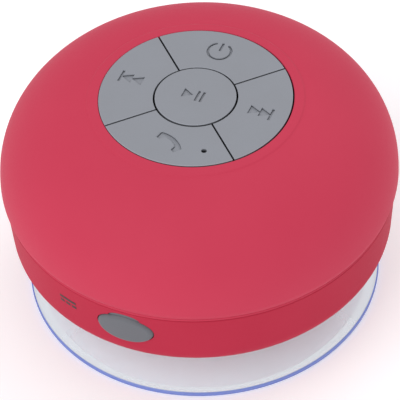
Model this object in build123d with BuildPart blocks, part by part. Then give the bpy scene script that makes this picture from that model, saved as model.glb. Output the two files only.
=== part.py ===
"""Waterproof shower speaker on a suction cup.

Millimetres, +Z up. The origin is the centre of the cup's rim, in the plane that the cup grips.
The power key is at +Y, the charging port at -Y, and the driver faces down into the base.
"""
from build123d import *
from math import cos, sin, tan, radians
import os

os.makedirs("parts", exist_ok=True)

# ------------------------------------------------------------------ driving dimensions
BODY_R = 43.0                       # widest radius of the dome
TOP_Z = 51.9                        # top face of the four sector keys
EQUATOR_Z = 30.9                    # height of the widest radius
FLAT_R = 17.7                       # radius where the top starts to fall away
DOME_POWER = 2.15                   # exponent of the dome's superellipse
COVER_T = 1.4                       # rubber cover thickness
SHELL_GAP = 0.05                    # glue line between the cover and the shell
SHELL_T = 1.5                       # rigid upper shell thickness
SPLIT_Z = 28.7                      # lower edge of the dome
BAND_TOP_Z = 28.1                   # upper edge of the base
BASE_Z = 12.8                       # underside of the base
BASE_R = 41.6                       # base radius above its rounded foot
BAND_TOP_R = 42.35                  # base radius at its upper edge
FOOT_R = 4.9                        # radius of the rounded foot
WALL = 2.0                          # base wall and floor thickness

KEYPAD_R = 20.57                    # outer radius of the sector keys
KEY_HOLE_R = 20.77                  # hole in the dome around the keys
KEY_GAP = 0.4                       # groove between two keys
GROOVE_R = 8.84                     # middle of the groove round the centre key
KEY_T = 2.8                         # thickness of a key
CENTRE_LIFT = 0.1                   # how far the centre key stands above the others
KEY_EDGE = 0.2                      # rounding of the keys' top edges
ICON_DEPTH = 0.45                   # how deep the symbols are sunk
STROKE = 0.5                        # line width of the symbols
SWITCH_R = 14.0                     # radius of the outer switches

PLATE_TOP_Z = 48.5                  # plate that guides the keys
PLATE_T = 1.2
PLATE_R = 21.85
BOARD_TOP_Z = 45.3                  # key board
KEY_BOARD_R = 18.0
BOARD_T = 1.0
STEM_END_Z = 46.85                  # lower end of the keys' stems
PLUNGER_TOP_Z = 46.8
SWITCH_T = 1.0

CUP_R = 38.8
CUP_LIP_R = 36.0
CUP_LIP_T = 1.0
CUP_DISH_Z = 7.0                    # height of the hollow under the cup
STEM_R = 4.1
BORE_R = 4.2                        # running fit round the stem
HUB_R = 8.0
HUB_TOP_Z = 17.0

BOSS_R = 32.5                       # pitch radius of the housing screws
BOSS_ANGLE = 45.0
PORT_Z = 22.7
PORT_SEAT_Y = 40.6                  # depth of the plug's seat, measured from the axis
PLUG_HALF_W = 6.3
PLUG_HALF_H = 3.65
PLUG_GAP = 0.15
PLUG_FACE_R = 42.6                  # the plug's face follows the band, a little proud of it
PLUG_LIP_HALF_W = 3.4               # finger lip at the plug's top
PLUG_LIP_HALF_H = 1.25
PLUG_BOSS_Y = 38.7                  # inner end of the plug's boss, measured from the axis

FLOOR_Z = BASE_Z + WALL
SEAT_Z = 17.3                       # seat of the driver's gasket
FLANGE_Z = 17.8
SPEAKER_SCREW_R = 24.8
MAIN_BOARD_Z = 20.2                 # underside of the main board
MAIN_TOP_Z = MAIN_BOARD_Z + BOARD_T
BOARD_POSTS = [(-11.0, -33.6), (11.0, -33.6)]
WIRE_R = 0.45
WIRE_PITCH = 1.6
LEAD_X = 8.9                        # middle of each pair of leads, either side of centre

KEY_ANGLES = {"power": 90, "next": 0, "previous": 180, "call": 270}
MIC_ANGLE = 298.5
MIC_R = 16.35


def finish(piece, name):
    """Label a finished piece and write it to its own STEP file."""
    piece.part.label = name
    export_step(piece.part, f"parts/{name}.step")


def polar(radius, angle):
    """Point at a radius and an angle in degrees from +X."""
    return (radius * cos(radians(angle)), radius * sin(radians(angle)))


def dome_point(inset, turn):
    """Point (r, z) of the dome's superellipse, set in from the outside, at a turn in degrees."""
    reach = BODY_R - FLAT_R - inset
    rise = TOP_Z - EQUATOR_Z - inset
    power = 2 / DOME_POWER
    return (
        FLAT_R + reach * cos(radians(turn)) ** power,
        EQUATOR_Z + rise * sin(radians(turn)) ** power,
    )


def dome_height(radius):
    """Height of the outside of the dome at a radius."""
    share = (radius - FLAT_R) / (BODY_R - FLAT_R)
    return EQUATOR_Z + (TOP_Z - EQUATOR_Z) * (1 - share**DOME_POWER) ** (1 / DOME_POWER)


def dome_profile(inset, foot_r):
    """Half section of the solid dome, from the axis out to the surface and down to the split."""
    top_z = TOP_Z - inset
    side_r = BODY_R - inset
    points = [(FLAT_R, top_z)]
    points += [dome_point(inset, turn) for turn in range(80, 0, -10)]
    points += [(side_r, EQUATOR_Z)]
    with BuildSketch(Plane.XZ) as section:
        with BuildLine():
            Line((0, top_z), (FLAT_R, top_z))
            Spline(*points, tangents=((1, 0), (0, -1)))
            TangentArc((side_r, EQUATOR_Z), (foot_r, SPLIT_Z), tangent=(0, -1))
            Polyline((foot_r, SPLIT_Z), (0, SPLIT_Z), (0, top_z))
        make_face()
    return section.sketch


def ring(inner, outer, low, high):
    """Flat ring about the vertical axis."""
    with BuildPart() as body:
        with BuildSketch(Plane.XY.offset(low)):
            Circle(outer)
            Circle(inner, mode=Mode.SUBTRACT)
        extrude(amount=high - low)
    return body.part


def turned(*points):
    """Solid of revolution about Z from a closed outline of (r, z) points."""
    with BuildPart() as body:
        with BuildSketch(Plane.XZ):
            with BuildLine():
                Polyline(*points, close=True)
            make_face()
        revolve(axis=Axis.Z)
    return body.part


def block(x_range, y_range, z_range):
    """Box between three pairs of limits."""
    size = [high - low for low, high in (x_range, y_range, z_range)]
    middle = [(high + low) / 2 for low, high in (x_range, y_range, z_range)]
    with BuildPart() as body:
        with Locations(tuple(middle)):
            Box(*size)
    return body.part


# ------------------------------------------------------------------ dome
COVER_FOOT_R = 42.4
SHELL_FOOT_R = 40.95
SHELL_INNER_FOOT_R = 39.6
STEP_RING_R = 23.1
STEP_RING_WIRE = 0.18

with BuildPart() as dome_cover:
    add(dome_profile(0, COVER_FOOT_R))
    revolve(axis=Axis.Z)
    add(dome_profile(COVER_T, COVER_FOOT_R - COVER_T))
    revolve(axis=Axis.Z, mode=Mode.SUBTRACT)
    with BuildSketch(Plane.XY.offset(SPLIT_Z)):
        Circle(KEY_HOLE_R)
    extrude(amount=TOP_Z, mode=Mode.SUBTRACT)
    with BuildSketch(Plane.XZ):
        with Locations((STEP_RING_R, dome_height(STEP_RING_R))):
            Circle(STEP_RING_WIRE)
    revolve(axis=Axis.Z, mode=Mode.SUBTRACT)
    fillet(dome_cover.edges().filter_by(GeomType.CIRCLE).group_by(Axis.Z)[0].sort_by(SortBy.RADIUS)[-1], 0.3)
finish(dome_cover, "dome_cover")

shell_inset = COVER_T + SHELL_GAP
BOSS_FOOT_Z = 24.0                  # where the screw bosses of shell and base meet
SHELL_BOSS_R = 3.1
SCREW_PILOT_R = 1.3
WELL_Z = 46.2                       # foot of the wall round the key plate
WELL_WALL = 1.5
WELL_LEDGE = 2.2                    # width of the ledge that carries the plate
PLATE_FIT = 0.1

with BuildPart() as upper_shell:
    add(dome_profile(shell_inset, SHELL_FOOT_R))
    revolve(axis=Axis.Z)
    add(dome_profile(shell_inset + SHELL_T, SHELL_INNER_FOOT_R))
    revolve(axis=Axis.Z, mode=Mode.SUBTRACT)
    with BuildSketch(Plane.XY.offset(WELL_Z)):
        Circle(PLATE_R + WELL_WALL)
        Circle(PLATE_R + PLATE_FIT, mode=Mode.SUBTRACT)
    extrude(amount=TOP_Z - WELL_Z)
    with BuildSketch(Plane.XY.offset(WELL_Z)):
        Circle(PLATE_R + PLATE_FIT)
        Circle(PLATE_R - WELL_LEDGE, mode=Mode.SUBTRACT)
    extrude(amount=PLATE_TOP_Z - PLATE_T - WELL_Z)
    with BuildSketch(Plane.XY.offset(BOSS_FOOT_Z)):
        with PolarLocations(BOSS_R, 4, start_angle=BOSS_ANGLE):
            Circle(SHELL_BOSS_R)
    extrude(amount=TOP_Z - BOSS_FOOT_Z)
    with BuildSketch(Plane.XZ):
        add(dome_profile(shell_inset, SHELL_FOOT_R))
        with Locations((0, BOSS_FOOT_Z)):
            Rectangle(SHELL_INNER_FOOT_R - 1, 8, align=(Align.MIN, Align.MIN))
    revolve(axis=Axis.Z, mode=Mode.INTERSECT)
    with BuildSketch(Plane.XY.offset(PLATE_TOP_Z)):
        Circle(KEY_HOLE_R)
    extrude(amount=TOP_Z, mode=Mode.SUBTRACT)
    with BuildSketch(Plane.XY.offset(BOSS_FOOT_Z)):
        with PolarLocations(BOSS_R, 4, start_angle=BOSS_ANGLE):
            Circle(SCREW_PILOT_R)
    extrude(amount=10.5, mode=Mode.SUBTRACT)
finish(upper_shell, "upper_shell")

# ------------------------------------------------------------------ base
BASE_INNER_R = BASE_R - WALL
LIP_R = 39.3                        # tongue of the base inside the upper shell
LIP_TOP_Z = 30.5
BASE_BOSS_R = 3.2
SCREW_HEAD_R = 2.75                 # counterbore for the screw heads
SCREW_HEAD_Z = 19.0                 # seat of the screw heads
SCREW_HOLE_R = 1.45
SEAT_INNER_R = 22.9                 # ring that carries the driver
SEAT_OUTER_R = 26.6
SMALL_PILOT_R = 0.85                # holes for the driver's and the board's screws
SLOT_PITCH_R = 15.75                # middle of the twelve sound slots
INTO_FLOOR = 0.5                    # how far ribs and posts are rooted in the floor


def draw_plug_outline(grow):
    """Draw the port plug's oval and finger lip, grown by a clearance, on the open sketch."""
    with Locations((0, PORT_Z)):
        Ellipse(PLUG_HALF_W + grow, PLUG_HALF_H + grow)
    with Locations((0, PORT_Z + PLUG_HALF_H - 0.5)):
        Ellipse(PLUG_LIP_HALF_W + grow, PLUG_LIP_HALF_H + grow)


with BuildPart() as base_housing:
    with BuildSketch(Plane.XZ):
        with BuildLine():
            Line((0, BASE_Z), (BASE_R - FOOT_R, BASE_Z))
            TangentArc((BASE_R - FOOT_R, BASE_Z), (BASE_R, BASE_Z + FOOT_R), tangent=(1, 0))
            Polyline(
                (BASE_R, BASE_Z + FOOT_R), (BAND_TOP_R, BAND_TOP_Z - 0.3), (BAND_TOP_R - 0.3, BAND_TOP_Z),
                (LIP_R, BAND_TOP_Z), (LIP_R, LIP_TOP_Z), (LIP_R - 1.3, LIP_TOP_Z), (LIP_R - 1.3, 26.5),
                (BASE_INNER_R + 0.5, 24.3), (BASE_INNER_R, BASE_Z + FOOT_R),
            )
            inner_foot = (BASE_INNER_R - (FOOT_R - WALL), FLOOR_Z)
            TangentArc((BASE_INNER_R, BASE_Z + FOOT_R), inner_foot, tangent=(0, -1))
            Polyline(inner_foot, (0, FLOOR_Z), (0, BASE_Z))
        make_face()
    revolve(axis=Axis.Z)
    with BuildSketch(Plane.XY.offset(BASE_Z)):
        with PolarLocations(BOSS_R, 4, start_angle=BOSS_ANGLE):
            Circle(BASE_BOSS_R)
    extrude(amount=BOSS_FOOT_Z - BASE_Z)
    with BuildSketch(Plane.XY.offset(BASE_Z)):
        Circle(HUB_R)
    extrude(amount=HUB_TOP_Z - BASE_Z)
    with BuildSketch(Plane.XY.offset(BASE_Z + INTO_FLOOR)):
        Circle(SEAT_OUTER_R)
        Circle(SEAT_INNER_R, mode=Mode.SUBTRACT)
    extrude(amount=SEAT_Z - BASE_Z - INTO_FLOOR)
    with BuildSketch(Plane.XY.offset(BASE_Z + INTO_FLOOR)):
        with Locations(*BOARD_POSTS):
            Circle(2.2)
        with Locations((0, 27.2), (0, 34.5)):
            Rectangle(30, 1.4)
    extrude(amount=MAIN_BOARD_Z - BASE_Z - INTO_FLOOR)
    add(block((-8.5, 8.5), (-40.5, -38.4), (17.6, 27.6)))
    with BuildSketch(Plane.XY.offset(BASE_Z)):
        with PolarLocations(BOSS_R, 4, start_angle=BOSS_ANGLE):
            Circle(SCREW_HEAD_R)
    extrude(amount=SCREW_HEAD_Z - BASE_Z, mode=Mode.SUBTRACT)
    with BuildSketch(Plane.XY.offset(BASE_Z)):
        with PolarLocations(BOSS_R, 4, start_angle=BOSS_ANGLE):
            Circle(SCREW_HOLE_R)
        Circle(BORE_R)
        with PolarLocations(SLOT_PITCH_R, 12, start_angle=15):
            SlotOverall(9.5, 2.2)
    extrude(amount=20, mode=Mode.SUBTRACT)
    with BuildSketch(Plane.XY.offset(SEAT_Z)):
        with PolarLocations(SPEAKER_SCREW_R, 4):
            Circle(SMALL_PILOT_R)
    extrude(amount=-3.0, mode=Mode.SUBTRACT)
    with BuildSketch(Plane.XY.offset(MAIN_BOARD_Z)):
        with Locations(*BOARD_POSTS):
            Circle(SMALL_PILOT_R)
    extrude(amount=-5.0, mode=Mode.SUBTRACT)
    with BuildSketch(Plane.XZ.offset(PORT_SEAT_Y)):
        draw_plug_outline(PLUG_GAP)
    extrude(amount=6, mode=Mode.SUBTRACT)
    with BuildSketch(Plane.XZ.offset(PORT_SEAT_Y - 3)):
        with Locations((0, PORT_Z)):
            Ellipse(5.1, 2.4)
    extrude(amount=4, mode=Mode.SUBTRACT)
finish(base_housing, "base_housing")

with BuildPart() as housing_seal:
    add(ring(LIP_R + 0.3, 41.4, BAND_TOP_Z, SPLIT_Z))
finish(housing_seal, "housing_seal")

with BuildPart() as housing_screws:
    with PolarLocations(BOSS_R, 4, start_angle=BOSS_ANGLE):
        with Locations((0, 0, SCREW_HEAD_Z - 2.0)):
            Cylinder(2.5, 2.0, align=(Align.CENTER, Align.CENTER, Align.MIN))
        with Locations((0, 0, SCREW_HEAD_Z)):
            Cylinder(1.25, 14.0, align=(Align.CENTER, Align.CENTER, Align.MIN))
    with BuildSketch(Plane.XY.offset(SCREW_HEAD_Z - 2.0)):
        with PolarLocations(BOSS_R, 4, start_angle=BOSS_ANGLE):
            Rectangle(3.4, 0.7)
            Rectangle(0.7, 3.4)
    extrude(amount=1.1, mode=Mode.SUBTRACT)
finish(housing_screws, "housing_screws")

# ------------------------------------------------------------------ port plug
with BuildPart() as port_plug:
    with BuildSketch(Plane.XZ.offset(PORT_SEAT_Y)):
        draw_plug_outline(0)
    extrude(amount=4)
    with BuildSketch(Plane.XY.offset(BASE_Z)):
        Circle(60)
        Circle(PLUG_FACE_R, mode=Mode.SUBTRACT)
    extrude(amount=16, mode=Mode.SUBTRACT)
    with BuildSketch(Plane.XZ.offset(PLUG_BOSS_Y)):
        with Locations((0, PORT_Z)):
            Ellipse(4.9, 2.2)
    extrude(amount=PORT_SEAT_Y - PLUG_BOSS_Y)
finish(port_plug, "port_plug")

# ------------------------------------------------------------------ suction cup
with BuildPart() as suction_cup:
    with BuildSketch(Plane.XZ):
        with BuildLine():
            Polyline((CUP_LIP_R, 0), (CUP_R - 0.3, 0), (CUP_R, 0.3), (CUP_R, CUP_LIP_T))
            ThreePointArc((CUP_R, CUP_LIP_T), (25.0, 6.4), (8.5, 9.8))
            Polyline(
                (8.5, 9.8), (6.5, 11.2), (6.5, BASE_Z - 0.3), (STEM_R, BASE_Z - 0.3),
                (STEM_R, HUB_TOP_Z + 0.1), (STEM_R - 0.8, HUB_TOP_Z + 0.1), (STEM_R - 0.8, HUB_TOP_Z + 1.0),
                (STEM_R, HUB_TOP_Z + 1.0), (STEM_R, HUB_TOP_Z + 1.7), (STEM_R - 0.5, HUB_TOP_Z + 2.2),
                (0, HUB_TOP_Z + 2.2), (0, CUP_DISH_Z),
            )
            ThreePointArc((0, CUP_DISH_Z), (20.0, 4.6), (CUP_LIP_R, 0))
        make_face()
    revolve(axis=Axis.Z)
finish(suction_cup, "suction_cup")

with BuildPart() as cup_retainer:
    add(ring(STEM_R - 0.75, 6.5, HUB_TOP_Z + 0.1, HUB_TOP_Z + 0.95))
    with BuildSketch(Plane.XY.offset(HUB_TOP_Z)):
        with Locations((5, 0)):
            Rectangle(7, 4.4)
    extrude(amount=2, mode=Mode.SUBTRACT)
finish(cup_retainer, "cup_retainer")

# ------------------------------------------------------------------ keys
key_low_z = TOP_Z - KEY_T
KEY_STEM_R = 1.2                    # stem that presses the switch
GUIDE_PIN_R = 0.85
PIN_R = 18.5                        # pitch radius of the sector keys' guide pins
PIN_SPREAD = 15.0                   # their angle either side of the key's middle
RUNNING_FIT = 0.15                  # clearance round a key's stem and pins
MIC_HOLE_R = 0.55
MIC_BORE_R = 0.7                    # sound path behind the hole
centre_pins = [(-5.5, 0), (5.5, 0)]
mic_place = polar(MIC_R, MIC_ANGLE)


def power_symbol():
    """Ring open for 35 degrees each side of its top, with a bar through the gap."""
    ring_r = 2.5
    with BuildSketch(Plane.XY) as symbol:
        Circle(ring_r + STROKE / 2)
        Circle(ring_r - STROKE / 2, mode=Mode.SUBTRACT)
        with BuildLine():
            Polyline((0, 0), polar(2 * ring_r, 55), polar(2 * ring_r, 125), close=True)
        make_face(mode=Mode.SUBTRACT)
        with Locations((0, 1.35)):
            SlotOverall(2.6, STROKE, rotation=90)
    return symbol.sketch


def triangle(left, right, height):
    """Triangle that points along +X."""
    return Polyline((left, -height / 2), (right, 0), (left, height / 2), close=True)


def play_symbol():
    """Triangle followed by two bars."""
    with BuildSketch(Plane.XY) as symbol:
        with BuildLine():
            triangle(-2.3, 0.05, 2.7)
        make_face()
        with Locations((0.98, 0), (2.08, 0)):
            Rectangle(STROKE, 3.1)
    return symbol.sketch


def skip_symbol(rotation):
    """Two triangles against a bar, turned by an angle."""
    with BuildSketch(Plane.XY) as symbol:
        with BuildLine():
            triangle(-2.7, 0.0, 2.65)
        make_face()
        with BuildLine():
            triangle(-0.32, 2.35, 2.65)
        make_face()
        with Locations((2.2, 0)):
            Rectangle(STROKE, 3.4)
    return symbol.sketch.rotate(Axis.Z, rotation)


def call_symbol():
    """Telephone handset: a bow between two arcs with a foot at each end, tilted."""
    tilt = -31
    with BuildSketch(Plane.XY) as symbol:
        with BuildLine():
            ThreePointArc((-3.35, 0), (0, 0.92), (3.35, 0))
            Polyline((3.35, 0), (3.0, -1.85), (2.05, -1.75), (1.72, -0.55))
            ThreePointArc((1.72, -0.55), (0, -0.19), (-1.72, -0.55))
            Polyline((-1.72, -0.55), (-2.05, -1.75), (-3.0, -1.85), (-3.35, 0))
        make_face()
    return symbol.sketch.rotate(Axis.Z, tilt)


def sector_key(angle, symbol, symbol_place):
    """Quarter ring key with a stem, two guide pins and a sunk symbol."""
    with BuildPart() as key:
        with BuildSketch(Plane.XY.offset(key_low_z)):
            Circle(KEYPAD_R)
            Circle(GROOVE_R + KEY_GAP / 2, mode=Mode.SUBTRACT)
            with BuildLine():
                corner = KEY_GAP / 2 * 2**0.5
                Polyline((corner, 0), (corner + 40, 40), (corner + 40, -40), close=True)
            make_face(mode=Mode.INTERSECT)
        extrude(amount=KEY_T)
        fillet(key.edges().group_by(Axis.Z)[-1], KEY_EDGE)
        with BuildSketch(Plane.XY.offset(STEM_END_Z)):
            with Locations((SWITCH_R, 0)):
                Circle(KEY_STEM_R)
            with Locations(polar(PIN_R, PIN_SPREAD), polar(PIN_R, -PIN_SPREAD)):
                Circle(GUIDE_PIN_R)
        extrude(amount=key_low_z - STEM_END_Z)
    with BuildPart() as marked:
        add(key.part.rotate(Axis.Z, angle))
        with Locations((*symbol_place, TOP_Z)):
            add(symbol)
        extrude(amount=-ICON_DEPTH, mode=Mode.SUBTRACT)
    return marked.part


with BuildPart() as key_power:
    add(sector_key(KEY_ANGLES["power"], power_symbol(), (-0.5, 14.75)))
finish(key_power, "key_power")

with BuildPart() as key_next:
    add(sector_key(KEY_ANGLES["next"], skip_symbol(0), (14.75, 0.42)))
finish(key_next, "key_next")

with BuildPart() as key_previous:
    add(sector_key(KEY_ANGLES["previous"], skip_symbol(180), (-15.1, 0.6)))
finish(key_previous, "key_previous")

with BuildPart() as key_call:
    add(sector_key(KEY_ANGLES["call"], call_symbol(), (0.32, -13.8)))
    with BuildSketch(Plane.XY.offset(TOP_Z)):
        with Locations(mic_place):
            Circle(MIC_HOLE_R)
    extrude(amount=-KEY_T, mode=Mode.SUBTRACT)
finish(key_call, "key_call")

with BuildPart() as key_play_pause:
    with BuildSketch(Plane.XY.offset(key_low_z)):
        Circle(GROOVE_R - KEY_GAP / 2)
    extrude(amount=KEY_T + CENTRE_LIFT)
    fillet(key_play_pause.edges().group_by(Axis.Z)[-1], KEY_EDGE)
    with BuildSketch(Plane.XY.offset(STEM_END_Z)):
        Circle(KEY_STEM_R)
        with Locations(*centre_pins):
            Circle(GUIDE_PIN_R)
    extrude(amount=key_low_z - STEM_END_Z)
    with Locations((-0.65, 0.3, TOP_Z + CENTRE_LIFT)):
        add(play_symbol())
    extrude(amount=-ICON_DEPTH, mode=Mode.SUBTRACT)
finish(key_play_pause, "key_play_pause")

# ------------------------------------------------------------------ key plate, board and switches
plate_low_z = PLATE_TOP_Z - PLATE_T
board_low_z = BOARD_TOP_Z - BOARD_T
POST_R = 16.0                       # pitch radius of the key board's posts
POST_PILOT_R = 0.75
stem_places = [(0, 0)] + [polar(SWITCH_R, a) for a in KEY_ANGLES.values()]
pin_places = list(centre_pins)
pin_places += [polar(PIN_R, a + s) for a in KEY_ANGLES.values() for s in (-PIN_SPREAD, PIN_SPREAD)]

with BuildPart() as keypad_plate:
    with BuildSketch(Plane.XY.offset(plate_low_z)):
        Circle(PLATE_R)
    extrude(amount=PLATE_T)
    with BuildSketch(Plane.XY.offset(BOARD_TOP_Z)):
        with PolarLocations(POST_R, 4, start_angle=45):
            Circle(1.8)
    extrude(amount=plate_low_z - BOARD_TOP_Z)
    with BuildSketch(Plane.XY.offset(BOARD_TOP_Z)):
        with PolarLocations(POST_R, 4, start_angle=45):
            Circle(POST_PILOT_R)
    extrude(amount=2.2, mode=Mode.SUBTRACT)
    with BuildSketch(Plane.XY.offset(plate_low_z)):
        with Locations(*stem_places):
            Circle(KEY_STEM_R + RUNNING_FIT)
        with Locations(*pin_places):
            Circle(GUIDE_PIN_R + RUNNING_FIT)
        with Locations(mic_place):
            Circle(MIC_BORE_R)
    extrude(amount=PLATE_T, mode=Mode.SUBTRACT)
finish(keypad_plate, "keypad_plate")

with BuildPart() as key_board:
    with BuildSketch(Plane.XY.offset(board_low_z)):
        Circle(KEY_BOARD_R)
        with PolarLocations(POST_R, 4, start_angle=45):
            Circle(0.9, mode=Mode.SUBTRACT)
    extrude(amount=BOARD_T)
finish(key_board, "key_board")

with BuildPart() as key_board_screws:
    with PolarLocations(POST_R, 4, start_angle=45):
        with Locations((0, 0, board_low_z - 1.1)):
            Cylinder(1.5, 1.1, align=(Align.CENTER, Align.CENTER, Align.MIN))
        with Locations((0, 0, board_low_z)):
            Cylinder(0.7, 3.0, align=(Align.CENTER, Align.CENTER, Align.MIN))
finish(key_board_screws, "key_board_screws")

with BuildPart() as switch_bodies:
    with BuildSketch(Plane.XY.offset(BOARD_TOP_Z)):
        with Locations(*stem_places):
            Rectangle(4.2, 4.2)
        with Locations(*stem_places):
            Circle(1.0, mode=Mode.SUBTRACT)
    extrude(amount=SWITCH_T)
finish(switch_bodies, "switch_bodies")

plunger_places = {"play_pause": (0, 0)}
plunger_places |= {name: polar(SWITCH_R, angle) for name, angle in KEY_ANGLES.items()}
for key_name, place in plunger_places.items():
    with BuildPart() as plunger:
        with BuildSketch(Plane.XY.offset(BOARD_TOP_Z + 0.5)):
            with Locations(place):
                Circle(0.9)
        extrude(amount=PLUNGER_TOP_Z - BOARD_TOP_Z - 0.5)
    finish(plunger, f"switch_plunger_{key_name}")

with BuildPart() as microphone:
    with BuildSketch(Plane.XY.offset(BOARD_TOP_Z)):
        with Locations(mic_place):
            Circle(2.0)
    extrude(amount=1.5)
finish(microphone, "microphone")

with BuildPart() as mic_boot:
    with BuildSketch(Plane.XY.offset(BOARD_TOP_Z + 1.5)):
        with Locations(mic_place):
            Circle(2.4)
            Circle(MIC_BORE_R, mode=Mode.SUBTRACT)
    extrude(amount=plate_low_z - BOARD_TOP_Z - 1.5)
finish(mic_boot, "mic_boot")

# ------------------------------------------------------------------ main board
with BuildPart() as main_board:
    with BuildSketch(Plane.XY.offset(MAIN_BOARD_Z)):
        with Locations((0, -31.7)):
            RectangleRounded(26, 9, 0.8)
        with Locations(*BOARD_POSTS):
            Circle(0.95, mode=Mode.SUBTRACT)
    extrude(amount=BOARD_T)
finish(main_board, "main_board")

with BuildPart() as board_screws:
    with Locations(*BOARD_POSTS):
        with Locations((0, 0, MAIN_TOP_Z)):
            Cylinder(1.6, 1.1, align=(Align.CENTER, Align.CENTER, Align.MIN))
        with Locations((0, 0, MAIN_BOARD_Z - 4.0)):
            Cylinder(0.8, 4.0 + BOARD_T, align=(Align.CENTER, Align.CENTER, Align.MIN))
finish(board_screws, "board_screws")

with BuildPart() as radio_module:
    add(block((-6, 6), (-35.5, -28.5), (MAIN_BOARD_Z - 1.6, MAIN_BOARD_Z)))
finish(radio_module, "radio_module")

with BuildPart() as board_chips:
    add(block((-1.5, 1.5), (-32.6, -30.6), (MAIN_TOP_Z, MAIN_TOP_Z + 0.9)))
    add(block((5.0, 7.2), (-35.6, -33.4), (MAIN_TOP_Z, MAIN_TOP_Z + 0.8)))
    add(block((-7.2, -5.0), (-35.6, -33.4), (MAIN_TOP_Z, MAIN_TOP_Z + 0.8)))
finish(board_chips, "board_chips")

PORT_FRONT_Y = -38.2
PORT_BACK_Y = -32.9
with BuildPart() as charging_port:
    with BuildSketch(Plane.XZ.offset(-PORT_BACK_Y)):
        with BuildLine():
            Polyline(
                (-3.0, MAIN_TOP_Z), (3.0, MAIN_TOP_Z), (3.75, MAIN_TOP_Z + 0.8), (3.75, MAIN_TOP_Z + 2.6),
                (-3.75, MAIN_TOP_Z + 2.6), (-3.75, MAIN_TOP_Z + 0.8), close=True,
            )
        make_face()
    extrude(amount=PORT_BACK_Y - PORT_FRONT_Y)
    front = charging_port.faces().sort_by(Axis.Y)[0]
    offset(amount=-0.3, openings=front)
finish(charging_port, "charging_port")

with BuildPart() as charging_tongue:
    add(block((-1.8, 1.8), (-37.4, PORT_BACK_Y - 0.3), (MAIN_TOP_Z + 1.3, MAIN_TOP_Z + 1.9)))
finish(charging_tongue, "charging_tongue")


def connector(x):
    """Two-pin wire connector on the main board."""
    return block((x - 2.5, x + 2.5), (-31.8, -28.4), (MAIN_TOP_Z, MAIN_TOP_Z + 3.0))


with BuildPart() as battery_connector:
    add(connector(LEAD_X))
finish(battery_connector, "battery_connector")

with BuildPart() as speaker_connector:
    add(connector(-LEAD_X))
finish(speaker_connector, "speaker_connector")

# ------------------------------------------------------------------ ribbon between the boards
RIBBON_Y = -28.8
RIBBON_Z = 43.5
with BuildPart() as ribbon_connectors:
    add(block((-4, 4), (-15.5, -12.5), (board_low_z - 1.5, board_low_z)))
    add(block((-4, 4), (-30.0, -27.6), (MAIN_TOP_Z, MAIN_TOP_Z + 1.4)))
finish(ribbon_connectors, "ribbon_connectors")

with BuildPart() as board_ribbon:
    with BuildSketch(Plane.YZ.offset(-3)):
        with BuildLine() as ribbon_path:
            FilletPolyline((-15.5, RIBBON_Z), (RIBBON_Y, RIBBON_Z), (RIBBON_Y, MAIN_TOP_Z + 1.4), radius=5)
        trace(ribbon_path.line, line_width=0.24)
    extrude(amount=6)
finish(board_ribbon, "board_ribbon")

# ------------------------------------------------------------------ battery
BATTERY_TOP_Z = 35.8
BATTERY_Y = 30.75
with BuildPart() as battery_foam:
    add(block((-15, 15), (28.2, 33.3), (FLOOR_Z, FLOOR_Z + 1.0)))
finish(battery_foam, "battery_foam")

with BuildPart() as battery:
    with BuildSketch(Plane.XY.offset(FLOOR_Z + 1.0)):
        with Locations((0, BATTERY_Y)):
            RectangleRounded(34, 5.4, 1.5)
    extrude(amount=BATTERY_TOP_Z - FLOOR_Z - 1.0)
finish(battery, "battery")


# ------------------------------------------------------------------ leads
def bend_radii(points):
    """Radius of each bend: 0.45 of the shorter run over the tangent of half the turn."""
    radii = []
    for before, corner, after in zip(points, points[1:], points[2:]):
        run_in = Vector(*corner) - Vector(*before)
        run_out = Vector(*after) - Vector(*corner)
        turn = run_in.get_angle(run_out)
        radii.append(0.45 * min(run_in.length, run_out.length) / tan(radians(turn / 2)))
    return radii


def lead_pair(x, route):
    """Two parallel wires along one (y, z) route, either side of x."""
    with BuildPart() as pair:
        for wire_x in (x - WIRE_PITCH / 2, x + WIRE_PITCH / 2):
            points = [(wire_x, y, z) for y, z in route]
            radii = bend_radii(points)
            with BuildLine() as path:
                FilletPolyline(*points, radius=radii)
            with BuildSketch(Plane(origin=path.line @ 0, z_dir=path.line % 0)):
                Circle(WIRE_R)
            sweep(path=path.line)
    print("bend radii", [round(r, 1) for r in radii])
    return pair.part


connector_top_z = MAIN_TOP_Z + 3.0
battery_route = [
    (BATTERY_Y, BATTERY_TOP_Z), (30.6, 39.8), (28.2, 42.0), (20.0, 42.5), (7.0, 41.8), (-8.0, 41.3),
    (-20.0, 41.6), (-27.0, 38.8), (-30.0, 32.0), (-30.2, connector_top_z),
]
with BuildPart() as battery_leads:
    add(lead_pair(LEAD_X, battery_route))
finish(battery_leads, "battery_leads")

TERMINAL_TOP_Z = 22.8
TERMINAL_Y = -22.9
speaker_route = [
    (TERMINAL_Y, TERMINAL_TOP_Z), (-23.0, 27.4), (-24.9, 30.4), (-28.4, 30.3), (-30.1, 27.3),
    (-30.2, connector_top_z),
]
with BuildPart() as speaker_leads:
    add(lead_pair(-LEAD_X, speaker_route))
finish(speaker_leads, "speaker_leads")

# ------------------------------------------------------------------ loudspeaker driver, facing down
CONE_INNER_R = 7.3
CONE_OUTER_R = 18.4
CONE_EDGE_Z = 17.6
PLATE_Z = 29.5                      # underside of the driver's top plate
MAGNET_Z = 31.5
YOKE_Z = 36.5
POLE_R = 6.6

with BuildPart() as speaker_gasket:
    add(ring(23.0, 26.4, SEAT_Z, FLANGE_Z))
    with BuildSketch(Plane.XY.offset(SEAT_Z)):
        with PolarLocations(SPEAKER_SCREW_R, 4):
            Circle(1.0)
    extrude(amount=1, mode=Mode.SUBTRACT)
finish(speaker_gasket, "speaker_gasket")

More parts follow.
